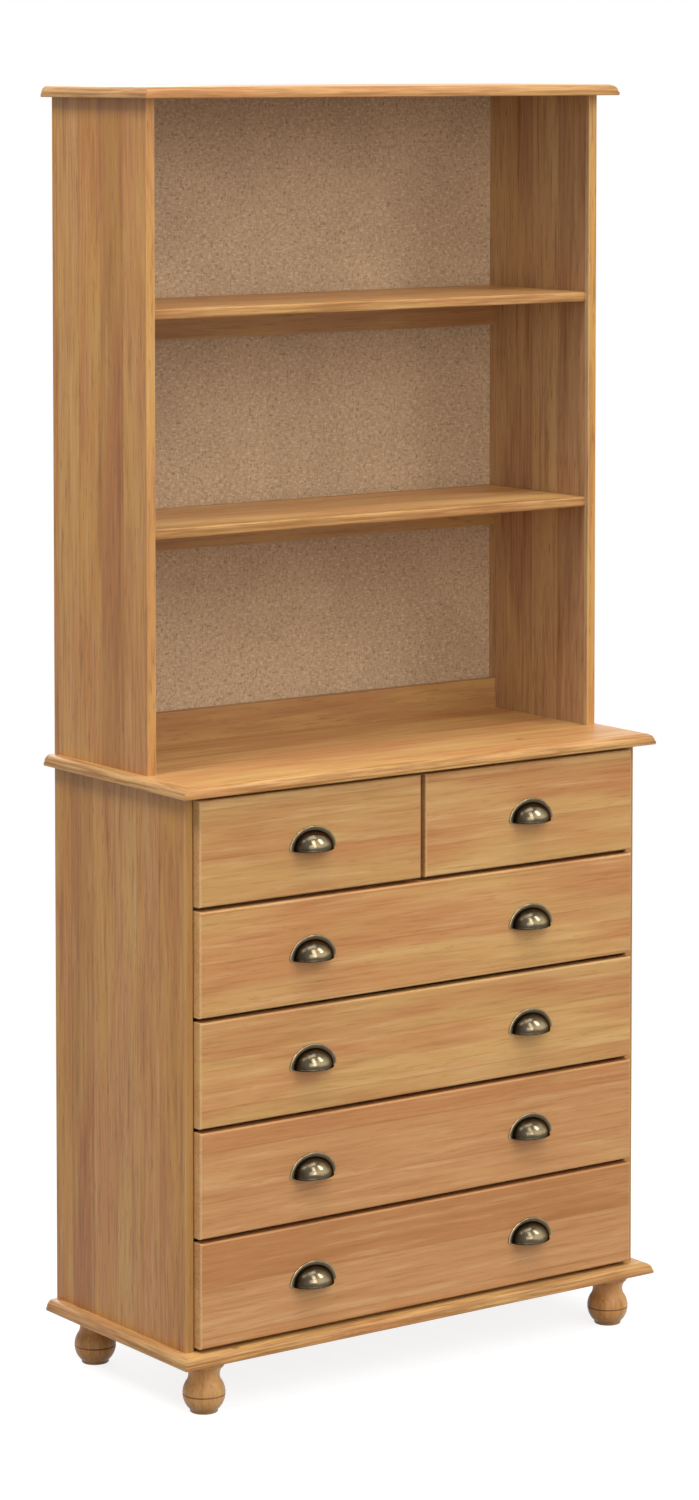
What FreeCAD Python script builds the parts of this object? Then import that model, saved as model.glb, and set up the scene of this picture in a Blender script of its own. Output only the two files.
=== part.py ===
import FreeCAD, Part
import math
import os

# All lengths are in millimetres. X runs along the front, the drawers open towards -Y, Z is up.
# The origin is the middle of the footprint, on the floor.

# Overall sizes of the chest and the hutch
body_width = 810.0
carcass_depth = 340.0
hutch_depth = 248.0
chest_side_height = 790.0
hutch_side_height = 955.0
upper_bay_height = 296.0

# Boards
board = 15.0
top_thickness = 16.0
panel_thickness = 3.0
side_overhang = 19.0
front_overhang = 30.0
side_edge_round = 2.0
shelf_edge_round = 3.0
shelf_setback = 8.0
rail_height = 46.0
rail_thickness = 16.0

# Moulded edge of the tops and the base
lip_height = 5.0
lip_step = 1.2
lip_arris = 1.0

# Back panels sit in rebates along the rear inner edges of the sides
rebate_width = 8.0
panel_clearance = 0.5
panel_inset = 1.0

# Turned feet: a ball on a flat pad, a cove, a collar and a spigot that plugs into the base
foot_height = 75.0
foot_pad_height = 4.0
foot_ball_radius = 30.5
foot_ball_level = 27.0
foot_shoulder_level = 45.0
foot_neck_radius = 22.4
foot_neck_level = 54.0
foot_collar_radius = 29.5
foot_collar_level = 67.0
foot_cove_runs = 2
spigot_radius = 10.0
spigot_length = 10.0
spigot_play = 0.1
foot_side_inset = 38.0
foot_back_inset = 44.0
foot_front_inset = 10.0

# Drawer fronts
row_count = 5
row_gap = 6.0
front_thickness = 18.0
front_proud = 16.0
front_end_clearance = 0.8
front_edge_round = 3.5
small_front_gap = 8.0

# Drawer boxes and their runners
box_side_thickness = 12.0
box_lift = 16.0
box_drop = 27.0
box_gap = 3.0
box_rear_clearance = 20.0
floor_lift = 8.0
floor_groove_depth = 4.0
floor_groove_play = 0.1
floor_end_play = 0.4
deck_setback = 20.0
runner_width = 9.0
runner_height = 16.0
runner_play = 0.3
runner_tip_play = 0.5
runner_stop_play = 0.5
runner_rear_inset = 22.0

# Cup pulls
pull_projection = 25.0
pull_flange_half_width = 41.0
pull_flange_height = 34.5
pull_flange_thickness = 1.8
pull_flange_bevel = 0.8
pull_dome_half_width = 32.0
pull_wall = 1.8
pull_skirt = 4.0
pull_lip = 0.8
pull_lip_height = 2.2
pull_drop = 13.0
pull_outline_steps = 10
pull_dome_angles = (0, 29, 57, 82)

# Boards that stand in grooves, and the dowels that locate the hutch on the chest
housing_depth = 5.0
housing_play = 0.1
dowel_radius = 4.0
dowel_length = 30.0
dowel_play = 0.1
dowel_in_top = 11.0
dowel_inset = 124.0

# Levels and sizes that follow from the values above
overall_depth = carcass_depth + front_proud + pull_projection
rear_y = overall_depth / 2
half_body = body_width / 2
half_inner = half_body - board
base_bottom = foot_height
base_top = base_bottom + top_thickness
chest_top_bottom = base_top + chest_side_height
chest_top_top = chest_top_bottom + top_thickness
hutch_top_bottom = chest_top_top + hutch_side_height
upper_shelf_level = hutch_top_bottom - upper_bay_height - board
lower_shelf_level = upper_shelf_level - upper_bay_height - board
front_height = (chest_side_height - (row_count + 1) * row_gap) / row_count
box_height = front_height - box_lift - box_drop
front_face = carcass_depth + front_proud
front_back_face = front_face - front_thickness
deck_front = carcass_depth - deck_setback
deck_level = base_top + (row_count - 1) * (front_height + row_gap) + row_gap / 2 - board / 2
half_divider = board / 2
panel_front = panel_inset + panel_thickness
runner_front = deck_front

os.makedirs("parts", exist_ok=True)


def vector(x, y, z):
    return FreeCAD.Vector(x, y, z)


def save(name, pieces):
    shape = pieces[0] if len(pieces) == 1 else Part.makeCompound(pieces)
    shape.exportStep("parts/" + name + ".step")


# Depths are counted forward from the rear face, so a block is given by two x, two depths and two z.
def block(x0, x1, depth0, depth1, z0, z1):
    return Part.makeBox(x1 - x0, depth1 - depth0, z1 - z0, vector(x0, rear_y - depth1, z0))


def rounded_front(solid, depth, radius):
    front_y = rear_y - depth
    edges = [e for e in solid.Edges if all(abs(v.Y - front_y) < 0.001 for v in e.Vertexes)]
    return solid.makeFillet(radius, edges)


def rounded_front_edges(solid, depth, radius, long_axis):
    front_y = rear_y - depth
    picked = []
    for edge in solid.Edges:
        start, end = edge.Vertexes[0].Point, edge.Vertexes[-1].Point
        along = (end - start).dot(long_axis)
        if abs(abs(along) - edge.Length) < 0.001 and abs(start.y - front_y) < 0.001:
            picked.append(edge)
    return solid.makeFillet(radius, picked)


def arc(start, middle, end):
    return Part.Arc(start, middle, end).toShape()


# One moulded edge, drawn from the underside up: arris, lip, small step and a quarter round to the top face.
# The place function turns an outward position and a level into a point of the section plane.
def moulded_edge(outer, sign, level, place):
    radius = top_thickness - lip_height
    step = outer - sign * lip_step
    crown = step - sign * radius
    diagonal = radius * math.sqrt(0.5)
    corners = [place(outer - sign * lip_arris, level), place(outer, level + lip_arris)]
    corners += [place(outer, level + lip_height), place(step, level + lip_height)]
    edges = [Part.makeLine(a, b) for a, b in zip(corners, corners[1:])]
    middle = place(crown + sign * diagonal, level + lip_height + diagonal)
    edges.append(arc(corners[-1], middle, place(crown, level + top_thickness)))
    return edges


# A board with the moulding on its front and both ends: two mouldings drawn in crossing directions
# and kept where they agree, which mitres the corners.
def moulded_board(depth, level):
    half_width = half_body + side_overhang
    front_depth = depth + front_overhang
    front_y = rear_y - front_depth
    upper = level + top_thickness

    def across(position, height):
        return vector(position, front_y, height)

    def along(position, height):
        return vector(-half_width, position, height)

    right = moulded_edge(half_width, 1, level, across)
    left = moulded_edge(-half_width, -1, level, across)
    right_top, left_top = right[-1].Vertexes[-1].Point, left[-1].Vertexes[-1].Point
    right_low, left_low = right[0].Vertexes[0].Point, left[0].Vertexes[0].Point
    loop = right + left + [Part.makeLine(right_top, left_top), Part.makeLine(left_low, right_low)]
    ends = Part.Face(Part.Wire(Part.__sortEdges__(loop))).extrude(vector(0, front_depth, 0))

    front = moulded_edge(front_y, -1, level, along)
    front_top, front_low = front[-1].Vertexes[-1].Point, front[0].Vertexes[0].Point
    rear_top, rear_low = along(rear_y, upper), along(rear_y, level)
    loop = front + [Part.makeLine(front_top, rear_top), Part.makeLine(rear_top, rear_low)]
    loop.append(Part.makeLine(rear_low, front_low))
    fronts = Part.Face(Part.Wire(Part.__sortEdges__(loop))).extrude(vector(2 * half_width, 0, 0))
    return ends.common(fronts).Solids[0]


def cut_all(solid, tools):
    return solid.cut(tools).Solids[0]


# A foot is turned from one profile; its cove is drawn as a few straight runs to keep the facets few.
def turned_foot():
    def ball_point(level):
        return vector(math.sqrt(foot_ball_radius ** 2 - (level - foot_ball_level) ** 2), 0, level)

    ball_start = ball_point(foot_pad_height)
    shoulder = ball_point(foot_shoulder_level)
    neck = vector(foot_neck_radius, 0, foot_neck_level)
    collar_low = vector(foot_collar_radius, 0, foot_collar_level)
    cove = arc(shoulder, neck, collar_low).discretize(foot_cove_runs + 1)
    corners = cove + [vector(foot_collar_radius, 0, foot_height), vector(spigot_radius, 0, foot_height)]
    spigot_top = foot_height + spigot_length
    corners += [vector(spigot_radius, 0, spigot_top), vector(0, 0, spigot_top), vector(0, 0, 0)]
    corners += [vector(ball_start.x, 0, 0), ball_start]
    edges = [Part.makeLine(p, q) for p, q in zip(corners, corners[1:])]
    edges.append(arc(ball_start, ball_point(foot_ball_level), shoulder))
    return Part.Face(Part.Wire(edges)).revolve(vector(0, 0, 0), vector(0, 0, 1), 360)


def moved(shape, x, y, z):
    copy = shape.copy()
    copy.translate(vector(x, y, z))
    return copy


foot = turned_foot()
foot_x = half_body - foot_side_inset
sockets = []
for end, depth in (("back", foot_back_inset), ("front", carcass_depth - foot_front_inset)):
    places = [vector(x, rear_y - depth, 0) for x in (-foot_x, foot_x)]
    save("feet_" + end, [moved(foot, p.x, p.y, 0) for p in places])
    for p in places:
        low = vector(p.x, p.y, base_bottom)
        sockets.append(Part.makeCylinder(spigot_radius + spigot_play, spigot_length + spigot_play, low))

# A dowel stands in the chest top and the lower end of each hutch side.
side_middle = half_body - board / 2
dowel_low = chest_top_top - dowel_in_top
dowels = []
dowel_holes = []
for x in (-side_middle, side_middle):
    low = vector(x, rear_y - dowel_inset, dowel_low)
    dowels.append(Part.makeCylinder(dowel_radius, dowel_length, low))
    dowel_holes.append(Part.makeCylinder(dowel_radius + dowel_play, dowel_length, low))
save("hutch_dowels", dowels)

# The divider stands in one groove of the deck and one of the chest top.
groove_half = half_divider + housing_play
divider_low = deck_level + board - housing_depth
divider_high = chest_top_bottom + housing_depth
divider_grooves = [
    block(-groove_half, groove_half, panel_front, deck_front, divider_low, deck_level + board),
    block(-groove_half, groove_half, panel_front, deck_front, chest_top_bottom, divider_high),
]

# Moulded boards
save("base_board", [cut_all(moulded_board(carcass_depth, base_bottom), sockets)])
chest_top = moulded_board(carcass_depth, chest_top_bottom)
save("chest_top", [cut_all(chest_top, dowel_holes + divider_grooves[1:])])
save("hutch_top", [moulded_board(hutch_depth, hutch_top_bottom)])


# A groove in a side board that takes the end of a level board
def housing(sign, front, level):
    x0, x1 = sorted((sign * half_inner, sign * (half_inner + housing_depth + housing_play)))
    return block(x0, x1, panel_front, front, level, level + board + housing_play)


def level_board(front, level):
    half = half_inner + housing_depth
    return block(-half, half, panel_front, front, level, level + board)


# An upright side board with a rounded front edge and the rebate for the back panel
def side_board(sign, depth, low, high, cuts):
    x0, x1 = sorted((sign * half_inner, sign * half_body))
    solid = block(x0, x1, 0, depth, low, high)
    solid = rounded_front_edges(solid, depth, side_edge_round, vector(0, 0, 1))
    x0, x1 = sorted((sign * half_inner, sign * (half_inner + rebate_width)))
    return cut_all(solid, [block(x0, x1, 0, panel_front, low, high)] + cuts)


shelf_front = hutch_depth - shelf_setback
shelf_levels = {"upper": upper_shelf_level, "lower": lower_shelf_level}
for side, sign in (("left", -1), ("right", 1)):
    deck_groove = [housing(sign, deck_front, deck_level)]
    shelf_grooves = [housing(sign, shelf_front, level) for level in shelf_levels.values()]
    chest_side = side_board(sign, carcass_depth, base_top, chest_top_bottom, deck_groove)
    hutch_side = side_board(sign, hutch_depth, chest_top_top, hutch_top_bottom, shelf_grooves + dowel_holes)
    save("chest_side_" + side, [chest_side])
    save("hutch_side_" + side, [hutch_side])


def back_panel(low, high):
    half = half_inner + rebate_width - panel_clearance
    return block(-half, half, panel_inset, panel_front, low, high - panel_clearance)


save("chest_back_panel", [back_panel(base_top, chest_top_bottom)])
save("hutch_back_panel", [back_panel(chest_top_top, hutch_top_bottom)])

# Shelves, with a rail under each one and a third rail standing on the chest top
def rear_rail(low):
    rail_front = panel_front + rail_thickness
    return block(-half_inner, half_inner, panel_front, rail_front, low, low + rail_height)


for name, level in shelf_levels.items():
    shelf = level_board(shelf_front, level)
    shelf = rounded_front_edges(shelf, shelf_front, shelf_edge_round, vector(1, 0, 0))
    save("hutch_shelf_" + name, [shelf])
    save("hutch_rail_" + name, [rear_rail(level - rail_height)])
save("hutch_rail_bottom", [rear_rail(chest_top_top)])

# Deck under the small drawers and the divider standing in it
divider = block(-half_divider, half_divider, panel_front, deck_front, divider_low, divider_high)
save("drawer_deck", [cut_all(level_board(deck_front, deck_level), divider_grooves[:1])])
save("drawer_divider", [divider])


# Half an ellipse as short straight runs: across is along X, out is away from the straight side.
def half_ellipse(half_width, reach, place):
    angles = [math.pi * i / pull_outline_steps for i in range(pull_outline_steps + 1)]
    return [place(half_width * math.cos(a), reach * math.sin(a)) for a in angles]


def flat_face(points):
    return Part.Face(Part.makePolygon(points + points[:1]))


# A solid through similar loops, one flat facet between each pair of matching sides
def facet_loft(loops):
    faces = [flat_face(loops[0]), flat_face(loops[-1])]
    for low, high in zip(loops, loops[1:]):
        for i in range(len(low)):
            faces.append(flat_face([low[i - 1], low[i], high[i], high[i - 1]]))
    return Part.makeSolid(Part.makeShell(faces))


# A quarter of a stretched ball above a straight skirt, through level half ellipses
def cup_solid(half_width, reach):
    levels = [(1.0, 0.0)]
    for angle in pull_dome_angles:
        turn = math.radians(angle)
        levels.append((math.cos(turn), pull_skirt + reach * math.sin(turn)))
    loops = []
    for scale, level in levels:
        loops.append(half_ellipse(half_width * scale, reach * scale, lambda a, o: vector(a, -o, level)))
    return facet_loft(loops)


# A cup pull stands on the plane y = 0, faces -Y and has its mouth at z = 0.
def cup_pull():
    shrunk = (pull_flange_half_width - pull_flange_bevel) / pull_flange_half_width
    land = pull_flange_thickness - pull_flange_bevel
    loops = []
    for scale, out in ((1.0, 0.0), (1.0, land), (shrunk, pull_flange_thickness)):
        half_width, height = pull_flange_half_width * scale, pull_flange_height * scale
        loops.append(half_ellipse(half_width, height, lambda a, o: vector(a, -out, o)))
    flange = facet_loft(loops)
    reach = pull_projection - pull_lip
    outer = cup_solid(pull_dome_half_width, reach)
    hollow = cup_solid(pull_dome_half_width - pull_wall, reach - pull_wall)
    lip_loop = half_ellipse(pull_dome_half_width + pull_lip, pull_projection, lambda a, o: vector(a, -o, 0))
    lip = flat_face(lip_loop).extrude(vector(0, 0, pull_lip_height))
    return flange.fuse([outer, lip]).cut(hollow).removeSplitter().Solids[0]


pull = cup_pull()
box_front = front_back_face
box_rear = panel_front + box_rear_clearance
groove_height = panel_thickness + 2 * floor_groove_play
runner_inset = runner_width - box_gap + runner_tip_play


def runner_level(row_bottom):
    return row_bottom + box_lift + (box_height - runner_height) / 2


# One box side: a groove outside for its runner and a groove inside for the drawer floor
def box_side(outer_x, inward, row_bottom):
    low = row_bottom + box_lift
    inner_x = outer_x + inward * box_side_thickness
    x0, x1 = sorted((outer_x, inner_x))
    solid = block(x0, x1, box_rear, box_front, low, low + box_height)
    level = runner_level(row_bottom)
    x0, x1 = sorted((outer_x, outer_x + inward * runner_inset))
    stop = runner_front + runner_stop_play
    top = level + runner_height + runner_play
    solid = solid.cut(block(x0, x1, box_rear, stop, level - runner_play, top))
    x0, x1 = sorted((inner_x, inner_x - inward * floor_groove_depth))
    groove_low = low + floor_lift
    return solid.cut(block(x0, x1, box_rear, box_front, groove_low, groove_low + groove_height)).Solids[0]


# A whole drawer between two carcass faces; the front ends are given apart from the box
def make_drawer(name, row, faces, front_ends, pulls):
    row_bottom = base_top + row_gap + row * (front_height + row_gap)
    low = row_bottom + box_lift
    left, right = faces[0] + box_gap, faces[1] - box_gap
    inner_left, inner_right = left + box_side_thickness, right - box_side_thickness
    groove_low = low + floor_lift
    floor_low = groove_low + floor_groove_play
    floor_top = floor_low + panel_thickness

    front = block(*front_ends, front_back_face, front_face, row_bottom, row_bottom + front_height)
    front = rounded_front(front, front_face, front_edge_round)
    slot_left, slot_right = inner_left - floor_groove_depth, inner_right + floor_groove_depth
    slot_front = front_back_face + floor_groove_depth
    front = front.cut(block(slot_left, slot_right, front_back_face, slot_front,
                            groove_low, groove_low + groove_height))
    rear_front = box_rear + box_side_thickness
    rear = block(inner_left, inner_right, box_rear, rear_front, floor_top, low + box_height)
    floor = block(slot_left + floor_end_play, slot_right - floor_end_play,
                  box_rear, slot_front - floor_end_play, floor_low, floor_top)
    save(name + "_front", [front.Solids[0]])
    save(name + "_side_left", [box_side(left, 1, row_bottom)])
    save(name + "_side_right", [box_side(right, -1, row_bottom)])
    save(name + "_rear", [rear])
    save(name + "_floor", [floor])
    mouth = row_bottom + front_height / 2 - pull_drop
    for pull_name, centre in pulls.items():
        save(name + pull_name, [moved(pull, centre, rear_y - front_face, mouth)])


def runner(face, inward, row):
    row_bottom = base_top + row_gap + row * (front_height + row_gap)
    level = runner_level(row_bottom)
    x0, x1 = sorted((face, face + inward * runner_width))
    return block(x0, x1, runner_rear_inset, runner_front, level, level + runner_height)


# Four wide drawers below, two small ones in the top row
front_end = half_inner - front_end_clearance
small_end = small_front_gap / 2
pull_centre = (front_end + small_end) / 2
wide_faces = (-half_inner, half_inner)
wide_pulls = {"_pull_left": -pull_centre, "_pull_right": pull_centre}
wide_names = ("drawer_lowest", "drawer_fourth", "drawer_third", "drawer_second")
runners = []
for row, name in enumerate(wide_names):
    make_drawer(name, row, wide_faces, (-front_end, front_end), wide_pulls)
    runners += [runner(-half_inner, 1, row), runner(half_inner, -1, row)]
top_row = row_count - 1
left_faces = (-half_inner, -half_divider)
right_faces = (half_divider, half_inner)
make_drawer("drawer_top_left", top_row, left_faces, (-front_end, -small_end), {"_pull": -pull_centre})
make_drawer("drawer_top_right", top_row, right_faces, (small_end, front_end), {"_pull": pull_centre})
runners += [runner(-half_inner, 1, top_row), runner(-half_divider, -1, top_row)]
runners += [runner(half_divider, 1, top_row), runner(half_inner, -1, top_row)]
save("drawer_runners", runners)
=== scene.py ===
import math

import bmesh
import bpy
import numpy as np
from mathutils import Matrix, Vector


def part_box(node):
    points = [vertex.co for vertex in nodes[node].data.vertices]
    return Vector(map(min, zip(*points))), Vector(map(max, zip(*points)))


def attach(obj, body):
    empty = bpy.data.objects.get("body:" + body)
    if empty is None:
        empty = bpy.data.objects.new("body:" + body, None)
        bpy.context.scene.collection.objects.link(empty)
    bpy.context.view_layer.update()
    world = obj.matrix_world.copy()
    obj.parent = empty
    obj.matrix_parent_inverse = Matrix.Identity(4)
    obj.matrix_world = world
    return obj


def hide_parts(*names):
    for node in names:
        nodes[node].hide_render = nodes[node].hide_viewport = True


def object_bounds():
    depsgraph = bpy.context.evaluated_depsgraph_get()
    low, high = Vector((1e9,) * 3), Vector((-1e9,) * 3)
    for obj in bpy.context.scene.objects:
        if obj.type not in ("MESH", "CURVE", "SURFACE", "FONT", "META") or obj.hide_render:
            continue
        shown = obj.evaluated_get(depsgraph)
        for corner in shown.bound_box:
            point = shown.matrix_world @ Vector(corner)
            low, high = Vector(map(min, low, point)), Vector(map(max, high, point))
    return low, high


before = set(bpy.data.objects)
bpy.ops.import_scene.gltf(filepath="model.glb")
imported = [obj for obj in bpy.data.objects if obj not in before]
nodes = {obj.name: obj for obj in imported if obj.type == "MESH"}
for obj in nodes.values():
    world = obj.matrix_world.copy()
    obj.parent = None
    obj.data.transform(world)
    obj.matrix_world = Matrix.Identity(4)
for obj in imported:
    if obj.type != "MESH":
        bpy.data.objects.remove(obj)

cadLow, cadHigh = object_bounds()
mm = 0.001
print("frame loaded:", len(nodes), "nodes")


# One output of a shader node. Arithmetic on it adds Math nodes.
class Wire:
    def __init__(self, tree, socket=None):
        self.tree = tree
        self.socket = socket

    # Any node: its settings are set first, then each socket takes a value or a link.
    def node(self, kind, settings, sockets, output=0):
        made = self.tree.nodes.new(kind)
        for key, value in settings.items():
            setattr(made, key, value)
        for key, value in sockets.items():
            if isinstance(value, Wire):
                self.tree.links.new(value.socket, made.inputs[key])
            else:
                made.inputs[key].default_value = value
        if isinstance(output, tuple):
            return [Wire(self.tree, made.outputs[key]) for key in output]
        return Wire(self.tree, made.outputs[output])

    def math(self, operation, *terms):
        return self.node("ShaderNodeMath", {"operation": operation}, dict(enumerate(terms)))

    def __add__(self, other):
        return self.math("ADD", self, other)

    def __radd__(self, other):
        return self.math("ADD", other, self)

    def __sub__(self, other):
        return self.math("SUBTRACT", self, other)

    def __rsub__(self, other):
        return self.math("SUBTRACT", other, self)

    def __mul__(self, other):
        return self.math("MULTIPLY", self, other)

    def __rmul__(self, other):
        return self.math("MULTIPLY", other, self)

    def lesser(self, other):
        return self.math("MINIMUM", self, other)

    def greater(self, other):
        return self.math("MAXIMUM", self, other)

    def fraction(self):
        return self.math("FRACT", self)

    def whole(self):
        return self.math("FLOOR", self)

    def size(self):
        return self.math("ABSOLUTE", self)

    # smooth step from 0 at low to 1 at high
    def rise(self, low, high):
        settings = {"interpolation_type": "SMOOTHSTEP"}
        return self.node("ShaderNodeMapRange", settings, {"Value": self, 1: low, 2: high})

    def objectPoint(self):
        return self.node("ShaderNodeTexCoord", {}, {}, "Object")

    def vector(self, x, y, z):
        return self.node("ShaderNodeCombineXYZ", {}, {0: x, 1: y, 2: z})

    # how long a vector is
    def reach(self):
        return self.node("ShaderNodeVectorMath", {"operation": "LENGTH"}, {0: self}, "Value")

    def scaled(self, scale, shift=0.0):
        sockets = {"Vector": self, "Location": (shift,) * 3, "Scale": scale}
        return self.node("ShaderNodeMapping", {}, sockets)

    def noise(self, place, detail=2.0, roughness=0.5):
        sockets = {"Vector": place, "Scale": 1.0, "Detail": detail, "Roughness": roughness}
        return self.node("ShaderNodeTexNoise", {}, sockets)

    def blend(self, share, first, second):
        return self.node("ShaderNodeMix", {"data_type": "RGBA"}, {0: share, 6: first, 7: second}, 2)

    # 1 for what the eye meets straight on, in a reflection or through glass
    def directlySeen(self):
        kinds = ("Is Camera Ray", "Is Glossy Ray", "Is Transmission Ray")
        camera, glossy, through = self.node("ShaderNodeLightPath", {}, {}, kinds)
        return camera.greater(glossy).greater(through)

    def into(self, shader, name):
        self.tree.links.new(self.socket, shader.inputs[name])


def paint(code):  # six hex digits to linear colour
    parts = np.array([int(code[i:i + 2], 16) for i in (0, 2, 4)]) / 255
    linear = np.where(parts <= 0.04045, parts / 12.92, ((parts + 0.055) / 1.055) ** 2.4)
    return (*linear.tolist(), 1.0)


def startMaterial(name, fixed):
    material = bpy.data.materials.new(name)
    material.use_nodes = True
    shader = material.node_tree.nodes["Principled BSDF"]
    for key, value in fixed.items():
        shader.inputs[key].default_value = value
    return material, Wire(material.node_tree), shader


def addBump(wire, shader, height, strength, depth):
    sockets = {"Strength": strength, "Distance": depth, "Height": height}
    wire.node("ShaderNodeBump", {}, sockets).into(shader, "Normal")


def dress(name, material):
    for place in nodes[name].material_slots:
        place.material = material


# Pine, honey coloured. A tone has two colours of clear wood, the dark of streaks and late wood, the pale
# of rubbed edges, and the width of the staves glued up in a board, if it has any.
# mix: how far the staves differ; edge: how pale the edges are; grain, fleck: how strong the figure is.
# end: the colour put at the wood's ends, or all round, how much of it, and how far in. On the fronts it is
# a painted highlight on the end faces; on the boards it is darker end grain and painted shade on the
# mouldings and at the shelf ends.
pineLook = {
    # the fronts' pale edges are rubbed wear and also a painted highlight along the rounded edges; their
    # pale ends are a painted highlight on the end faces
    "fronts": {"honey": "CDA062", "rose": "C48853", "dark": "965E2E", "pale": "E2BC86",
               "stave": 71 * mm, "mix": 0.16, "edge": 0.4, "grain": 1.0, "fleck": 0.28,
               "end": {"colour": "pale", "share": 0.3, "reach": 3 * mm, "allRound": False}},
    "boards": {"honey": "D6A868", "rose": "CE925C", "dark": "92622F", "pale": "E6BE82",
               "stave": 83 * mm, "mix": 0.26, "edge": 0.0, "grain": 1.2, "fleck": 0.45,
               "end": {"colour": "dark", "share": 0.5, "reach": 17 * mm, "allRound": True}},
    "sides": {"honey": "C48C40", "rose": "BE7D3F", "dark": "7E4A24", "pale": "CDA46E",
              "stave": 58 * mm, "mix": 0.3, "edge": 0.15, "grain": 1.3, "fleck": 0.5},
    # inner: greyer and paler, painted to look like the shade on the inside faces of the hutch
    "inner": {"honey": "C4A272", "rose": "BA926C", "dark": "7E5436", "pale": "D0B082",
              "stave": 64 * mm, "mix": 0.42, "edge": 0.08, "grain": 1.5, "fleck": 0.5},
    "rails": {"honey": "AE844E", "rose": "A27446", "dark": "7C502C", "pale": "C2985E",
              "edge": 0.15, "grain": 1.0, "fleck": 0.5,
              "end": {"colour": "dark", "share": 0.2, "reach": 3 * mm, "allRound": False}},
    "turned": {"honey": "D5A261", "rose": "C68C50", "dark": "8A562A", "pale": "DCB074",
               "grain": 1.1, "fleck": 0.5},
    "bare": {"honey": "E0C08C", "rose": "D6AE7A", "dark": "B58A56", "pale": "EED6AC",
             "edge": 0.2, "grain": 0.9, "fleck": 0.4,
             "end": {"colour": "dark", "share": 0.3, "reach": 3 * mm, "allRound": False}},
}
pineSurface = {
    "finished": {"roughness": 0.42, "coat": 0.1},
    "bare": {"roughness": 0.66, "coat": 0.0},
    # the darkest colour, of knots and the cut line, and painted shade at the lower end of a turned piece
    "coatRoughness": 0.35, "specular": 0.28, "edgeWidth": 4.5 * mm, "darkAndShade": "6E3F1D",
}
# how often each noise of the figure changes in a metre along and across the grain
pineGrain = {
    "wander": {"along": 1.4, "across": 3.0, "detail": 1.0, "roughness": 0.5},
    "drift": {"along": 3.0, "across": 18.0, "detail": 2.0, "roughness": 0.5},
    "streak": {"along": 4.6, "across": 82.0, "detail": 5.0, "roughness": 0.62},
    "line": {"along": 9.0, "across": 260.0, "detail": 3.0, "roughness": 0.6},
    "fleck": {"along": 30.0, "across": 330.0, "detail": 2.0, "roughness": 0.5},
}
pineRings = {"perMetre": 170.0, "heartAcross": 0.4, "heartBehind": (0.03, 0.075), "lean": (0.02, 0.045),
             "wander": 0.06, "byStreak": 1.8, "byDrift": 5.0}
pineStaves = {"slide": 5.0, "sidestep": 0.09, "seedStep": 17.0, "jointFrom": 0.47}
pinKnots = {"along": 5.0, "across": 8.0, "skipped": 0.74, "rim": 0.05, "core": 0.02}
# how much of the dark, pale or darkest colour each mark takes; on the lower end of a turned piece the
# darkest colour is painted shade
pineShare = {"joint": 0.3, "streakDark": 0.4, "streakPale": 0.3, "late": 0.14, "line": 0.36, "knot": 0.7,
             "scribe": 0.7, "lowerEndShade": 0.6}


# Masks of the figure. The rings are distances from a log's heart that lies behind the board and leans
# along it, so they cross the face as long arches. The rest is noise stretched along the grain.
def pineFigure(wire, thin, across, length, heart, shift):
    def stretched(grain):
        place = wire.vector(length * grain["along"] + shift[0], across * grain["across"] + shift[1],
                            thin * grain["across"] + shift[2])
        return wire.noise(place, grain["detail"], grain["roughness"])

    figure = {key: stretched(grain) for key, grain in pineGrain.items()}
    drift, streak = figure["drift"], figure["streak"]
    spots = wire.vector(length * pinKnots["along"] + shift[2], across * pinKnots["across"] + shift[0], thin)
    spotSettings = {"voronoi_dimensions": "3D", "feature": "F1"}
    near, cell = wire.node("ShaderNodeTexVoronoi", spotSettings, {"Vector": spots, "Scale": 1.0}, (0, 1))
    picked = wire.node("ShaderNodeSeparateColor", {}, {0: cell})  # pin knots, in about one cell of four
    picked = picked.rise(pinKnots["skipped"], pinKnots["skipped"] + 0.01)
    figure["knot"] = near.rise(pinKnots["rim"], pinKnots["core"]) * picked
    offside = across - heart["across"] + (figure["wander"] - 0.5) * pineRings["wander"]
    behind = thin + heart["behind"] + length * heart["lean"]
    turns = wire.vector(offside, behind, 0.0).reach() * pineRings["perMetre"]
    ring = (turns + streak * pineRings["byStreak"] + drift * pineRings["byDrift"]).fraction()
    figure["late"] = ring.rise(0.35, 0.9) * (1 - ring.rise(0.9, 1.0)) * drift.rise(0.35, 0.6)
    return figure
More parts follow.
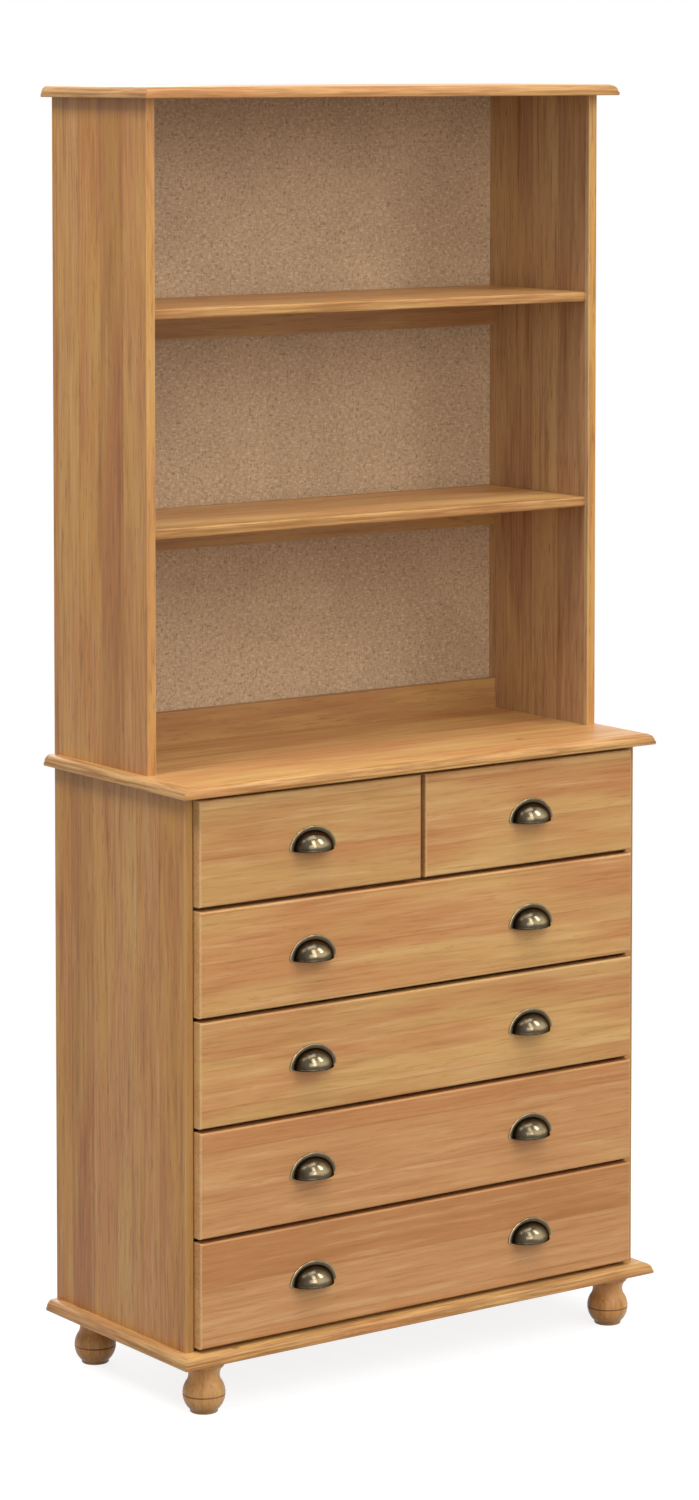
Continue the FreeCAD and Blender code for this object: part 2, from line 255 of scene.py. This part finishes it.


# A board's pine. Each stave moves the whole figure by a chance amount and takes its own shade.
# along: the axis of the grain, if it isn't the longest; warm, shade: redder, darker; worn: rubbed edges, on
# the fronts also a painted highlight along them.
# other: a second tone, and how far in from the board's face on the plus side the two meet.
# lipped: mouldings run round the ends; front: colour and share of a painted shadow along the front edge.
# scribe: level of the line cut round a turned piece.
def pineMaterial(name, tone, low, high, along=None, seed=0, worn=True, warm=0.0, shade=0.0,
                 other=None, lipped=False, front=None, scribe=None):
    look = pineLook[tone]
    surface = pineSurface["bare" if tone == "bare" else "finished"]
    low, high = np.array(low), np.array(high)
    size, centre = high - low, (low + high) / 2
    order = list(np.argsort(size))  # axes through the board, across the grain and along it
    if along is not None:
        order.remove(along)
        order.append(along)
    pick = np.random.default_rng(seed)
    heart = {"across": pick.uniform(-1, 1) * pineRings["heartAcross"] * size[order[1]],
             "behind": pick.uniform(*pineRings["heartBehind"]),
             "lean": pick.choice([-1, 1]) * pick.uniform(*pineRings["lean"])}
    shift = pick.uniform(0, 40, 3)

    fixed = {"Coat Weight": surface["coat"], "Coat Roughness": pineSurface["coatRoughness"],
             "Specular IOR Level": pineSurface["specular"]}
    material, wire, shader = startMaterial(name, fixed)
    axes = wire.node("ShaderNodeSeparateXYZ", {}, {0: wire.objectPoint()}, (0, 1, 2))
    local = [axis - middle for axis, middle in zip(axes, centre.tolist())]
    thin, across, length = (local[i] for i in order)
    half = (size / 2).tolist()
    toFaces = [edge - axis.size() for edge, axis in zip(half, local)]
    toLongSides, toEnds = toFaces[order[1]], toFaces[order[2]]

    colours = {key: paint(look[key]) for key in ("honey", "rose", "dark", "pale")}
    # a second tone on one face; on the hutch sides the greyer inner tone on the inside faces is painted
    # shade
    if other is not None:
        otherTone, border = other
        onOther = (half[order[0]] - thin).rise(border + 0.5 * mm, border - 0.5 * mm)
        colours = {key: wire.blend(onOther, colour, paint(pineLook[otherTone][key]))
                   for key, colour in colours.items()}
    honey, rose, dark, pale = colours.values()
    darkAndShade = paint(pineSurface["darkAndShade"])
    if lipped:  # the grain of an end moulding runs front to rear, up to the mitre
        lip = look["end"]["reach"]
        onLip = toEnds.rise(lip, lip - 0.5 * mm) * (toLongSides - toEnds).rise(-0.3 * mm, 0.3 * mm)
        change = (across - length) * onLip
        length, across = length + change, across - change
    if "stave" in look:
        place = across * (1 / look["stave"]) + pick.uniform(5, 6)
        number = place.whole() + pineStaves["seedStep"] * seed
        chance = wire.node("ShaderNodeTexWhiteNoise", {"noise_dimensions": "1D"}, {"W": number}, "Value")
        joint = (place.fraction() - 0.5).size().rise(pineStaves["jointFrom"], 0.5)
        length = length + chance * pineStaves["slide"]
        across = across + chance * pineStaves["sidestep"]
    figure = pineFigure(wire, thin, across, length, heart, shift)
    drift, streak, line, fleck = (figure[key] for key in ("drift", "streak", "line", "fleck"))

    colour = wire.blend(drift.rise(0.36 - warm, 0.64 - warm), honey, rose)
    if "stave" in look:
        # shade darkens the whole board; on the lower fronts and the hutch top it is painted shade
        colour = wire.blend(chance.rise(0.5, 1.0) * look["mix"] + shade, colour, dark)
        colour = wire.blend(chance.rise(0.5, 0.0) * look["mix"], colour, pale)
        colour = wire.blend(joint * pineShare["joint"], colour, dark)
    grain = look["grain"]
    colour = wire.blend(streak.rise(0.5, 0.74) * (pineShare["streakDark"] * grain), colour, dark)
    colour = wire.blend(streak.rise(0.5, 0.3) * (pineShare["streakPale"] * grain), colour, pale)
    colour = wire.blend(figure["late"] * (pineShare["late"] * grain), colour, dark)
    colour = wire.blend(line.rise(0.5, 0.75) * (pineShare["line"] * grain), colour, dark)
    colour = wire.blend(fleck.rise(0.58, 0.74) * look["fleck"], colour, dark)
    colour = wire.blend(figure["knot"] * pineShare["knot"], colour, darkAndShade)
    rough = streak * 0.14 + line * 0.1 + (surface["roughness"] - 0.12)
    if worn:  # the middle one of the three distances to the faces is small only along an edge
        first, second, third = toFaces
        middle = first.lesser(second).greater(first.greater(second).lesser(third))
        edge = (middle + line * (2 * mm)).rise(pineSurface["edgeWidth"], 0.0)
        # pale edges: rubbed wear, and on the fronts also a painted highlight along the rounded edges
        colour = wire.blend(edge * look["edge"], colour, pale)
        rough = rough + edge * 0.06
    # coloured ends: on the fronts a painted highlight on the end faces, on the boards darker end grain and
    # painted shade on the mouldings and at the shelf ends
    if worn and "end" in look:
        end = look["end"]
        toRim = toEnds.lesser(toLongSides) if end["allRound"] else toEnds
        rim = toRim.rise(end["reach"], end["reach"] * 0.4) * end["share"]
        colour = wire.blend(rim * (line.rise(0.35, 0.65) * 1.2 + 0.4), colour, colours[end["colour"]])
    # painted shadow on the front edge, where the drawer fronts stand proud of it
    if front is not None:
        frontShadowColour, frontShadowShare = front
        onFrontShadow = (axes[1] - float(low[1])).rise(3.5 * mm, 1.5 * mm)
        colour = wire.blend(onFrontShadow * frontShadowShare, colour, paint(frontShadowColour))
    if scribe is not None:  # darker in the cut line, and painted shade on the lower end near the floor
        cut = (axes[2] - scribe).size().rise(1.6 * mm, 0.6 * mm)
        lowerEndShade = axes[2].rise(18 * mm, 0.0) * pineShare["lowerEndShade"]
        colour = wire.blend(cut.greater(lowerEndShade) * pineShare["scribe"], colour, darkAndShade)
    colour.into(shader, "Base Color")
    rough.into(shader, "Roughness")
    addBump(wire, shader, figure["late"] * 0.5 + line * 0.6 + fleck * 0.3, 0.25, 0.25 * mm)
    return material


drawers = ["drawer_top_left", "drawer_top_right", "drawer_second", "drawer_third", "drawer_fourth",
           "drawer_lowest"]
boardTones = {
    "fronts": [drawer + "_front" for drawer in drawers],
    "boards": ["base_board", "chest_top", "hutch_top", "hutch_shelf_upper", "hutch_shelf_lower"],
    "sides": ["chest_side_left", "chest_side_right", "hutch_side_left"],
    "inner": ["hutch_side_right"],
    "rails": ["hutch_rail_upper", "hutch_rail_lower", "hutch_rail_bottom", "drawer_deck", "drawer_divider"],
    "bare": [drawer + part for drawer in drawers for part in ("_side_left", "_side_right", "_rear")],
}
# what sets a board apart from the others of its tone; the inside faces of the hutch sides take the greyer
# inner tone, painted to look like the shade inside the hutch, and the outside faces the warmer sides tone
boardTraits = {
    "drawer_top_left_front": {"warm": -0.1, "shade": 0.07},
    "drawer_top_right_front": {"shade": 0.11},
    "drawer_second_front": {"warm": 0.02, "shade": 0.02},
    "drawer_third_front": {"shade": 0.04},
    # the fourth and lowest fronts are redder, and darker as painted shade for the light that falls off
    # towards the floor
    "drawer_fourth_front": {"warm": 0.2, "shade": 0.14},
    "drawer_lowest_front": {"warm": 0.3, "shade": 0.16},
    "base_board": {"lipped": True},
    "chest_top": {"lipped": True},
    # the hutch top is darker, partly a duller tone and partly painted shade against the strong light from
    # above
    "hutch_top": {"lipped": True, "shade": 0.12},
    # the chest sides' darker front edges are painted shadow of the drawer fronts
    "chest_side_left": {"front": ("A8844E", 0.5)},
    "chest_side_right": {"front": ("A8844E", 0.5)},
    "hutch_side_left": {"other": ("inner", 1.2 * mm)},
    "hutch_side_right": {"other": ("sides", 13.8 * mm)},
}
firstSeed = 11
seed = firstSeed
for tone, names in boardTones.items():
    for name in names:
        traits = boardTraits.get(name, {})
        dress(name, pineMaterial("pine_" + name, tone, *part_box(name), seed=seed, **traits))
        seed += 1
grainToRear, grainUp = 1, 2  # runners lie front to rear, dowels and feet stand up
for name, along in (("drawer_runners", grainToRear), ("hutch_dowels", grainUp)):
    dress(name, pineMaterial("pine_" + name, "bare", *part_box(name), along=along, seed=seed, worn=False))
    seed += 1
print("pine pieces dressed:", seed - firstSeed)


# Hardboard: pressed fibre, brown, with pale and dark flecks a millimetre or two across.
hardboardLook = {
    "body": "B99C7B", "pale": "D2BC9F", "dark": "7F664B", "cloud": "AD9172",
    "cloudScale": 6.0, "fineScale": 700.0, "speckScale": 190.0, "fibreAlong": 140.0, "fibreAcross": 330.0,
    "roughness": 0.6, "specular": 0.25, "panelStep": 0.37,
}


def hardboardMaterial(name, shift):
    look = hardboardLook
    material, wire, shader = startMaterial(name, {"Specular IOR Level": look["specular"]})
    point = wire.objectPoint()

    def flecks(scale, detail):
        return wire.noise(point.scaled(scale, shift), detail, 0.6)

    along, across = look["fibreAlong"], look["fibreAcross"]
    level = flecks((along, across, across), 2.0)  # fibres lie both ways
    upright = flecks((across, across, along), 2.0)
    cloud = flecks((look["cloudScale"],) * 3, 2.0)
    fine = flecks((look["fineScale"],) * 3, 1.0)
    speck = flecks((look["speckScale"],) * 3, 0.0)
    pale, dark = paint(look["pale"]), paint(look["dark"])
    colour = wire.blend(cloud.rise(0.35, 0.7), paint(look["body"]), paint(look["cloud"]))
    colour = wire.blend(level.rise(0.5, 0.7) * 0.6, colour, pale)
    colour = wire.blend(upright.rise(0.5, 0.7) * 0.6, colour, dark)
    colour = wire.blend(level.rise(0.46, 0.28) * 0.4, colour, dark)
    colour = wire.blend(fine.rise(0.55, 0.8) * 0.3, colour, dark)
    colour = wire.blend(speck.rise(0.7, 0.78) * 0.6, colour, dark)
    colour.into(shader, "Base Color")
    (fine * 0.16 + (look["roughness"] - 0.08)).into(shader, "Roughness")
    addBump(wire, shader, level + upright + fine * 0.7, 0.3, 0.15 * mm)
    return material


panels = ["chest_back_panel", "hutch_back_panel"] + [drawer + "_floor" for drawer in drawers]
for count, name in enumerate(panels):
    dress(name, hardboardMaterial("hardboard_" + name, hardboardLook["panelStep"] * count))
print("hardboard panels dressed:", len(panels))


# Aged metal: the rub attribute runs from 0 in hollows, dark with age, to 1 where hands polish it.
# The edge colour tints what is seen at a glancing angle.
agedLook = {"hollow": "282015", "dome": "5A5040", "rubbed": "B4A07C", "edge": "A0937A",
            "roughHollow": 0.34, "roughRubbed": 0.15}
steelLook = {"hollow": "4A4843", "dome": "8C8A84", "rubbed": "C9C6BE", "edge": "E4E2DC",
             "roughHollow": 0.45, "roughRubbed": 0.28}
tarnishScale = {"cloud": 90.0, "speck": 900.0}


def agedMaterial(name, look):
    material, wire, shader = startMaterial(name, {"Metallic": 1.0, "Specular Tint": paint(look["edge"])})
    point = wire.objectPoint()
    rub = wire.node("ShaderNodeAttribute", {"attribute_name": "rub"}, {}, "Fac")
    tarnish = wire.noise(point.scaled((tarnishScale["cloud"],) * 3), 3.0, 0.6)
    speck = wire.noise(point.scaled((tarnishScale["speck"],) * 3), 1.0)
    worn = rub + (tarnish - 0.5) * 0.35
    colour = wire.blend(worn.rise(0.0, 0.5), paint(look["hollow"]), paint(look["dome"]))
    colour = wire.blend(worn.rise(0.55, 1.0), colour, paint(look["rubbed"]))
    colour = wire.blend(speck.rise(0.62, 0.75) * 0.35, colour, paint(look["hollow"]))
    colour.into(shader, "Base Color")
    rough = worn.rise(0.0, 0.7) * (look["roughRubbed"] - look["roughHollow"]) + look["roughHollow"]
    (rough + speck.rise(0.6, 0.75) * 0.12).into(shader, "Roughness")
    addBump(wire, shader, tarnish + speck * 0.3, 0.12, 0.1 * mm)
    return material


# Corner numbers of every cell in a grid of rows by columns; closed joins the last column to the first.
def gridCells(rows, columns, closed=False):
    row, column = np.meshgrid(np.arange(rows - 1), np.arange(columns - (not closed)), indexing="ij")
    ahead = (column + 1) % columns
    here, above = row * columns, (row + 1) * columns
    cells = [here + column, here + ahead, above + ahead, above + column]
    return np.stack(cells, axis=-1).reshape(-1, 4).tolist()


# A piece from several surfaces, each one given by its points, its faces and its rub values.
def makePiece(name, surfaces, material, body, replaced=None, crease=42):
    points, faces, rubs, start = [], [], [], 0
    for shape, cells, rub in surfaces:
        points.append(shape)
        rubs.append(rub)
        faces += [[start + corner for corner in cell] for cell in cells]
        start += len(shape)
    mesh = bpy.data.meshes.new(name)
    mesh.from_pydata(np.concatenate(points).tolist(), [], faces)
    rubValues = mesh.attributes.new("rub", "FLOAT", "POINT").data
    rubValues.foreach_set("value", np.concatenate(rubs).astype(np.float32))
    shell = bmesh.new()
    shell.from_mesh(mesh)
    bmesh.ops.remove_doubles(shell, verts=shell.verts, dist=0.002 * mm)  # closes seams and poles
    bmesh.ops.recalc_face_normals(shell, faces=shell.faces)
    shell.to_mesh(mesh)
    shell.free()
    mesh.polygons.foreach_set("use_smooth", np.ones(len(mesh.polygons), bool))
    mesh.set_sharp_from_angle(angle=math.radians(crease))
    mesh.materials.append(material)
    piece = bpy.data.objects.new(name, mesh)
    bpy.context.scene.collection.objects.link(piece)
    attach(piece, body)
    if replaced:
        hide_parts(replaced)


# A half turn: each step of a section goes round a half ellipse, with flat caps at both ends.
def halfTurn(shape, rub):
    rows, columns = shape.shape[:2]
    starts = [row * columns for row in range(rows)]
    ends = [start + columns - 1 for start in starts]
    faces = gridCells(rows, columns) + [starts, ends]
    return shape.reshape(-1, 3), faces, np.broadcast_to(rub, (rows, columns)).ravel()


# Cup pulls, in millimetres. flangeRub: rear middle, rear edge, rounded rim, flat, middle under the cup.
cupPull = {
    "projection": 25.0, "domeHalfWidth": 32.0, "wall": 1.8, "skirt": 4.0, "bead": 0.8, "beadHeight": 2.4,
    "flangeHalfWidth": 41.0, "flangeHeight": 34.5, "flangeThickness": 1.8, "flangeRound": 0.9,
    "flangeCorner": 5.0, "flangeFlat": 0.85, "columns": 57, "steps": 22, "skirtSteps": 14, "roundSteps": 6,
    "polishLevel": 9.0, "leastPolish": 0.2, "leastRub": 0.12, "flangeRub": (0.3, 0.5, 0.85, 0.3, 0.1),
}


# The cup: a quarter of a stretched ball above a straight skirt, inside and outside walls in one section.
# A point is (half width * cos turn, -reach * sin turn, level).
def cupDome(p):
    reach = p["projection"] - p["bead"]
    rise = np.linspace(np.pi / 2, 0, p["steps"])
    innerLevel = p["skirt"] + (reach - p["wall"]) * np.sin(rise)
    outerLevel = p["skirt"] + reach * np.sin(rise[::-1])
    skirtLevel = np.linspace(0, p["skirt"], p["skirtSteps"] + 1)[:-1]
    swell = np.clip(1 - (2 * skirtLevel / p["beadHeight"] - 1) ** 2, 0, None) ** 0.5 * p["bead"]
    level = np.concatenate([innerLevel, [0.0], skirtLevel, outerLevel])
    shrink = np.concatenate([np.cos(rise), [1.0], np.ones(len(skirtLevel)), np.cos(rise[::-1])])
    inside = np.concatenate([np.full(len(rise) + 1, p["wall"]), -swell, np.zeros(len(rise))])
    turn = np.linspace(0, np.pi, p["columns"])[None, :]
    wide = ((p["domeHalfWidth"] - inside) * shrink)[:, None]
    deep = ((reach - inside) * shrink)[:, None]
    shape = np.stack([wide * np.cos(turn), -deep * np.sin(turn), level[:, None] + 0 * turn], axis=-1)
    outside = (inside <= 0)[:, None]
    polish = (shrink ** 1.5 * np.clip(level / p["polishLevel"], p["leastPolish"], 1))[:, None]
    rub = np.where(outside, p["leastRub"] + (1 - p["leastRub"]) * np.sin(turn) ** 3 * polish, 0.0)
    return halfTurn(shape, rub)


# The flange: a half ellipse with rounded lower corners, from its rear middle round the edge to its front.
# A point is (scale * half width * cos turn, -thickness, scale * height * sin turn).
def cupFlange(p):
    arch = np.linspace(0, np.pi / 2, p["roundSteps"])
    land = p["flangeThickness"] - p["flangeRound"]
    rim = 1 - p["flangeRound"] * (1 - np.cos(arch)) / p["flangeHalfWidth"]
    scale = np.concatenate([[0.0, 1.0], rim, [p["flangeFlat"], 0.0]])[:, None]
    rimOut = land + p["flangeRound"] * np.sin(arch)
    out = np.concatenate([[0.0, 0.0], rimOut, [p["flangeThickness"]] * 2])[:, None]
    half = (p["columns"] + 1) // 2
    turn = np.concatenate([np.linspace(0, 1, half) ** 2, 2 - np.linspace(1, 0, half)[1:] ** 2]) * np.pi / 2
    rise = p["flangeHeight"] * np.sin(turn)
    corner = p["flangeCorner"]
    tuck = corner - np.sqrt(np.clip(corner ** 2 - np.clip(corner - rise, 0, None) ** 2, 0, None))
    wide = p["flangeHalfWidth"] * np.cos(turn) - np.sign(np.cos(turn)) * tuck
    shape = np.stack([scale * wide, -out + 0 * turn, scale * rise], axis=-1)
    rub = np.repeat(p["flangeRub"], [1, 1, len(arch), 1, 1])[:, None]
    return halfTurn(shape, rub)


# A turned form: each step of a section goes round a full circle about the upright axis.
def turned(radius, level, columns, rub):
    angle = np.linspace(0, 2 * np.pi, columns, endpoint=False)
    shape = np.stack([np.outer(radius, np.cos(angle)), np.outer(radius, np.sin(angle)),
                      np.outer(level, np.ones(columns))], axis=-1)
    return shape.reshape(-1, 3), gridCells(len(radius), columns, True), np.repeat(rub, columns)


def placed(surface, origin, toRear=False):
    shape, cells, rub = surface
    if toRear:  # the upright axis is laid to point at the rear
        shape = shape[:, [0, 2, 1]]
    return shape * mm + np.array(origin), cells, rub


agedMetal = agedMaterial("aged_metal", agedLook)
steel = agedMaterial("screw_steel", steelLook)
pullParts = [cupDome(cupPull), cupFlange(cupPull)]
pullNodes = [name for name in nodes if "_pull" in name]
for name in pullNodes:
    low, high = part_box(name)
    origin = ((low.x + high.x) / 2, high.y, low.z)
    makePiece("cup_" + name, [placed(part, origin) for part in pullParts], agedMetal,
              name.split("_pull")[0], replaced=name)
print("cup pulls made:", len(pullNodes))


# Screws that hold the pulls: a low dome with a four-pointed driver recess, on the front's rear face.
# steps: shares of the radius at which the head is measured, ending at the middle of its flat side.
pullScrew = {
    "radius": 4.2, "height": 2.4, "recessReach": 2.6, "recessDepth": 1.5, "spread": 18.0, "lift": 13.0,
    "steps": (0.0, 0.15, 0.3, 0.45, 0.6, 0.72, 0.84, 0.93, 1.0, 1.0, 0.0), "columns": 24,
}


# Dome level = height * sqrt(1 - (r / radius)^2 * 0.85), less a recess that reaches further on two lines.
def screwHead(p):
    angle = np.linspace(0, 2 * np.pi, p["columns"], endpoint=False)[None, :]
    radius = (np.array(p["steps"]) * p["radius"])[:, None]
    level = p["height"] * np.sqrt(1 - (radius / p["radius"]) ** 2 * 0.85)
    star = p["recessReach"] * (0.32 + 0.68 * np.abs(np.cos(2 * angle)) ** 3)
    recess = np.clip(1 - radius / star, 0, 1) ** 0.4
    level = level - p["recessDepth"] * recess
    level[-2:] = 0.0
    shape = np.stack([radius * np.cos(angle), radius * np.sin(angle), level], axis=-1)
    rub = np.clip(0.85 - recess, 0, 1) + 0 * angle
    return shape.reshape(-1, 3), gridCells(len(radius), p["columns"], True), rub.ravel()


head = screwHead(pullScrew)
for drawer in drawers:
    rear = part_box(drawer + "_front")[1].y
    heads = []
    for name in (node for node in pullNodes if node.startswith(drawer + "_pull")):
        low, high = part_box(name)
        for side in (-1, 1):
            x = (low.x + high.x) / 2 + side * pullScrew["spread"] * mm
            heads.append(placed(head, (x, rear, low.z + pullScrew["lift"] * mm), toRear=True))
    makePiece("screws_" + drawer, heads, steel, drawer)
print("pull screws made for", len(drawers), "drawers")


# Panel pins: small flat heads along the edges of the back panels, and into the boards that these cover.
panelPin = {"radius": 2.1, "height": 0.7, "columns": 10, "spacing": 130.0, "edgeInset": 3.6,
            "endMargin": 20.0, "sideMargin": 70.0}
pinnedBoards = {
    "chest_back_panel": ["drawer_deck"],
    "hutch_back_panel": ["hutch_shelf_upper", "hutch_shelf_lower", "hutch_rail_bottom"],
}


# A section of six points, from the middle of the head out, round its rim and back along its flat side.
def pinHead(p):
    radius = np.array([0.0, 0.55, 0.85, 1.0, 1.0, 0.0]) * p["radius"]
    level = np.array([1.0, 0.95, 0.75, 0.4, 0.0, 0.0]) * p["height"]
    return turned(radius, level, p["columns"], np.array([0.6, 0.6, 0.7, 0.5, 0.2, 0.2]))


def evenly(low, high, margin):
    first, last = low + margin * mm, high - margin * mm
    count = int(round((last - first) / (panelPin["spacing"] * mm))) + 1
    return np.linspace(first, last, count)


pin = pinHead(panelPin)
for panel, boards in pinnedBoards.items():
    low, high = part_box(panel)
    inset = panelPin["edgeInset"] * mm
    levels = evenly(low.z, high.z, panelPin["endMargin"])
    spots = [(x, z) for x in (low.x + inset, high.x - inset) for z in levels]
    acrossPanel = evenly(low.x, high.x, panelPin["sideMargin"])
    for board in boards:
        boardLow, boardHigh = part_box(board)
        spots += [(x, (boardLow.z + boardHigh.z) / 2) for x in acrossPanel]
    heads = [placed(pin, (x, high.y, z), toRear=True) for x, z in spots]
    makePiece("pins_" + panel, heads, steel, "carcass")
    print("panel pins made:", len(heads))


# Turned feet: pad, ball with a scribed line round it, cove, collar and the spigot hidden in the base.
turnedFoot = {
    "ballRadius": 30.5, "ballLevel": 27.0, "padHeight": 4.0, "padRound": 1.6, "shoulderLevel": 45.0,
    "neckRadius": 22.4, "neckLevel": 54.0, "collarRadius": 29.5, "collarLevel": 67.0, "collarRound": 1.5,
    "height": 75.0, "spigotRadius": 10.0, "spigotTop": 85.0, "scribeLevel": 26.0, "scribeDepth": 0.9,
    "scribeWidth": 0.9, "columns": 72, "roundSteps": 6, "ballSteps": 30, "scribeSteps": 13, "coveSteps": 20,
    "warm": 0.12, "crease": 50,
}


# Radius against level: a circle for the ball less a narrow dip at the scribed line, an arc through three
# points for the cove, quarter rounds on the collar and the pad.
def footSection(p):
    arch = np.linspace(0, np.pi / 2, p["roundSteps"])
    padRadius = math.sqrt(p["ballRadius"] ** 2 - (p["padHeight"] - p["ballLevel"]) ** 2)
    padIn = padRadius - p["padRound"]
    pad = np.stack([padIn + p["padRound"] * np.sin(arch), p["padRound"] * (1 - np.cos(arch))])
    nearScribe = p["scribeLevel"] + p["scribeWidth"] * np.linspace(-2, 2, p["scribeSteps"])
    onBall = np.linspace(p["padHeight"], p["shoulderLevel"], p["ballSteps"])
    level = np.sort(np.concatenate([onBall, nearScribe]))
    radius = np.sqrt(p["ballRadius"] ** 2 - (level - p["ballLevel"]) ** 2)
    dip = np.exp(-((level - p["scribeLevel"]) / p["scribeWidth"]) ** 2 * 2)
    ball = np.stack([radius - p["scribeDepth"] * dip, level])
    ends = np.array([[radius[-1], p["shoulderLevel"]], [p["neckRadius"], p["neckLevel"]],
                     [p["collarRadius"], p["collarLevel"]]])
    middle = np.linalg.solve(2 * (ends[1:] - ends[0]), (ends[1:] ** 2).sum(1) - (ends[0] ** 2).sum())
    spread = np.arctan2(*(ends - middle).T[::-1]) % (2 * np.pi)
    sweep = np.linspace(spread[0], spread[2], p["coveSteps"])
    coveRadius = np.linalg.norm(ends[0] - middle)
    cove = middle[:, None] + coveRadius * np.stack([np.cos(sweep), np.sin(sweep)])
    r = p["collarRound"]
    lower = np.stack([p["collarRadius"] - r + r * np.sin(arch), p["collarLevel"] + r * (1 - np.cos(arch))])
    upper = np.stack([p["collarRadius"] - r + r * np.cos(arch), p["height"] - r + r * np.sin(arch)])
    spigot = np.array([[p["spigotRadius"], p["spigotRadius"], 0],
                       [p["height"], p["spigotTop"], p["spigotTop"]]])
    section = np.concatenate([[[0.0], [0.0]], pad, ball, cove[:, 1:-1], lower, upper, spigot], axis=1)
    return section[0], section[1]


footRadius, footLevel = footSection(turnedFoot)
foot = turned(footRadius, footLevel, turnedFoot["columns"], np.full(len(footRadius), 0.5))
for name in ("feet_front", "feet_back"):
    low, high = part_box(name)
    half = (high.y - low.y) / 2
    places = [(x, low.y + half, low.z) for x in (low.x + half, high.x - half)]
    material = pineMaterial("pine_" + name, "turned", low, high, along=grainUp, seed=seed, worn=False,
                            warm=turnedFoot["warm"], scribe=turnedFoot["scribeLevel"] * mm)
    seed += 1
    makePiece("turned_" + name, [placed(foot, place) for place in places], material, "carcass",
              replaced=name, crease=turnedFoot["crease"])
    print("turned feet made:", len(places))


# Stage: a wide pale floor that takes the shadow near the object and fades to plain white further out.
stageLook = {"floorHalf": 300.0, "floorColour": "909090", "floorRoughness": 0.9, "lift": 0.84,
             "fadeStart": 0.6, "fadeEnd": 2.2, "ambient": 0.43}
floorMesh = bpy.data.meshes.new("studio_floor")
edge = stageLook["floorHalf"]
corners = [(-edge, -edge, 0), (edge, -edge, 0), (edge, edge, 0), (-edge, edge, 0)]
floorMesh.from_pydata(corners, [], [(0, 1, 2, 3)])
floor = bpy.data.objects.new("studio_floor", floorMesh)
bpy.context.scene.collection.objects.link(floor)
floorFixed = {"Base Color": paint(stageLook["floorColour"]), "Roughness": stageLook["floorRoughness"],
              "Specular IOR Level": 0.0}
floorPaint, wire, shader = startMaterial("floor_paint", floorFixed)
floorMesh.materials.append(floorPaint)
seen = wire.directlySeen()
glow = wire.node("ShaderNodeEmission", {}, {"Strength": seen * stageLook["lift"]})
lit = wire.node("ShaderNodeAddShader", {}, {0: Wire(wire.tree, shader.outputs[0]), 1: glow})
white = wire.node("ShaderNodeEmission", {}, {"Strength": 1.0})
faded = wire.objectPoint().reach().rise(stageLook["fadeStart"], stageLook["fadeEnd"]) * seen
floorShader = wire.node("ShaderNodeMixShader", {}, {0: faded, 1: lit, 2: white})
floorShader.into(wire.tree.nodes["Material Output"], "Surface")

# the world gives soft light all round, and is plain white where it is seen
world = bpy.data.worlds.new("studio_world")
bpy.context.scene.world = world
world.use_nodes = True
wire = Wire(world.node_tree)
ambient = world.node_tree.nodes["Background"]
ambient.inputs["Color"].default_value = (1, 1, 1, 1)
ambient.inputs["Strength"].default_value = stageLook["ambient"]
plain = wire.node("ShaderNodeBackground", {}, {"Color": (1, 1, 1, 1), "Strength": 1.0})
worldMix = {0: wire.directlySeen(), 1: Wire(wire.tree, ambient.outputs[0]), 2: plain}
wire.node("ShaderNodeMixShader", {}, worldMix).into(wire.tree.nodes["World Output"], "Surface")

# Two tall soft boxes high in front, and fill from the front, the left, above and behind
lamps = {
    "window_near": {"place": (-0.25, -4.1, 4.1), "size": (1.2, 2.8), "watts": 64},
    "window_far": {"place": (2.6, -3.6, 3.9), "size": (1.1, 2.7), "watts": 54},
    "front_fill": {"place": (-1.0, -5.7, 1.9), "size": (3.2, 2.4), "watts": 80},
    "side_fill": {"place": (-3.0, -0.3, 5.0), "size": (1.6, 1.6), "watts": 118},
    "overhead": {"place": (0.0, -1.35, 6.5), "size": (3.6, 2.9), "watts": 145},
    "rear_fill": {"place": (1.4, 5.0, 2.4), "size": (2.8, 2.2), "watts": 95},
}
for name, lamp in lamps.items():
    light = bpy.data.lights.new(name, "AREA")
    light.shape = "RECTANGLE"
    light.size, light.size_y = lamp["size"]
    light.energy = lamp["watts"]
    holder = bpy.data.objects.new(name, light)
    bpy.context.scene.collection.objects.link(holder)
    holder.location = lamp["place"]
    aim = (cadLow + cadHigh) / 2 - holder.location
    holder.rotation_euler = aim.to_track_quat("-Z", "Y").to_euler()

# yaw to the right and pitch downwards, in degrees; the floor reaches out to the far clip
view = {"place": (-3.7171, -5.1422, 1.9154), "yaw": 35.766, "pitch": 3.756, "lens": 104.07, "sensor": 36.0,
        "shift": -0.275, "farClip": 1000.0}
camera = bpy.data.cameras.new("camera")
camera.lens = view["lens"]
camera.sensor_width = view["sensor"]
camera.shift_y = view["shift"]
camera.clip_end = view["farClip"]
cameraHolder = bpy.data.objects.new("camera", camera)
bpy.context.scene.collection.objects.link(cameraHolder)
cameraHolder.location = view["place"]
cameraHolder.rotation_euler = (math.radians(90 - view["pitch"]), 0, -math.radians(view["yaw"]))
bpy.context.scene.camera = cameraHolder
bpy.context.scene.view_settings.view_transform = "Standard"
print("stage, lamps and camera set:", len(lamps), "lamps")
